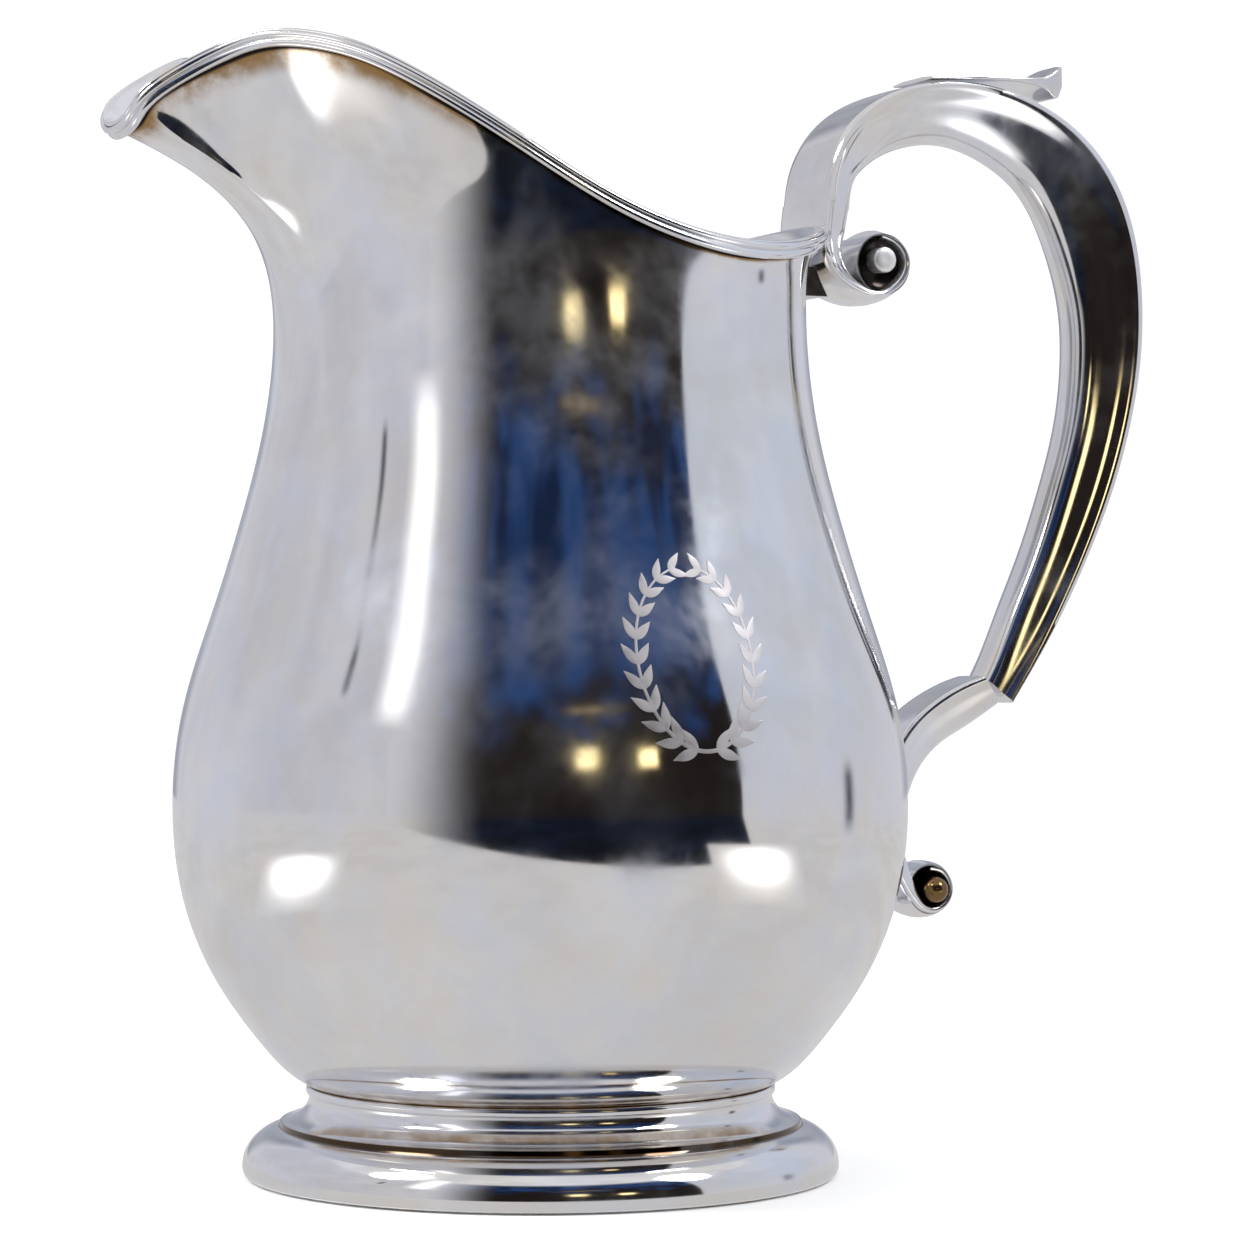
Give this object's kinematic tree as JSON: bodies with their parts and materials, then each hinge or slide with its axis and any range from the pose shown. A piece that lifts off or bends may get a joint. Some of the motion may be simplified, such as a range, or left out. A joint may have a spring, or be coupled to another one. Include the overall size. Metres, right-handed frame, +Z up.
{
  "type": "water pitcher",
  "caption": "Polished silver water pitcher: baluster body on a spun foot, high pouring lip with a wired edge, and a hollow C-scroll handle with volutes and a thumb rest.",
  "frame": {"origin": "on the table plane, under the middle of the overall length from spout to handle", "axes": "+Z up, spout towards -X, handle towards +X, Y across the body"},
  "size_m": [0.2286, 0.1462, 0.2283],
  "materials": {
    "polished_silver": "polished silver with soft cloudy tarnish and fine scratches",
    "cast_silver": "polished cast silver, darker in the recesses"
  },
  "bodies": {
    "root": {"body_shell": "polished_silver", "rim_wire": "polished_silver", "foot_collar": "polished_silver", "foot_pedestal": "polished_silver", "foot_base_ring": "polished_silver", "handle_shell_left": "polished_silver", "handle_shell_right": "polished_silver", "thumb_rest": "cast_silver", "upper_scroll": "cast_silver", "lower_scroll": "cast_silver", "upper_boss_left": "cast_silver", "upper_boss_right": "cast_silver", "lower_boss_left": "cast_silver", "lower_boss_right": "cast_silver", "upper_pad": "cast_silver", "lower_pad": "cast_silver"}
  },
  "joints": []
}
